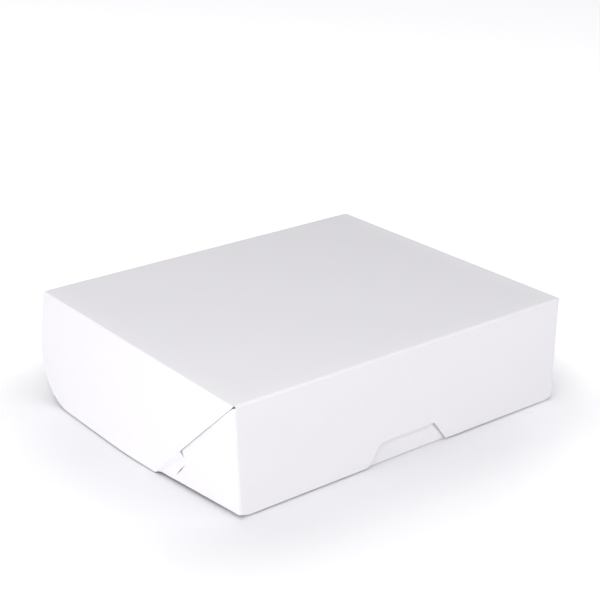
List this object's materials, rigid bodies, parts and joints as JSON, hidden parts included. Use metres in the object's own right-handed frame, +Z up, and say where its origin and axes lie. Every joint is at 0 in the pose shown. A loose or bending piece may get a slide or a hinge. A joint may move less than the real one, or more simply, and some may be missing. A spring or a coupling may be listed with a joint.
{
  "type": "takeaway food box",
  "caption": "Low white board food box: open tray with glued corners and a hinged cap lid with a thumb notch and side flaps locked into the front flap's ears.",
  "frame": {"origin": "centre of the bounding box's bottom face, on the surface that the box stands on", "axes": "+X along the front to the right as seen from the front, +Y from the front flap to the crease at the back, +Z up"},
  "size_m": [0.2136, 0.172, 0.0555],
  "materials": {
    "white_board": "smooth coated white, matt"
  },
  "bodies": {
    "tray": {"tray": "white_board"},
    "lid": {"lid": "white_board"}
  },
  "joints": [
    {"name": "lid_hinge", "type": "hinge", "parent": "tray", "child": "lid", "pos_m": [0, 0.08568, 0.05518], "axis": [-1, 0, 0], "range_deg": [0, 180]}
  ]
}
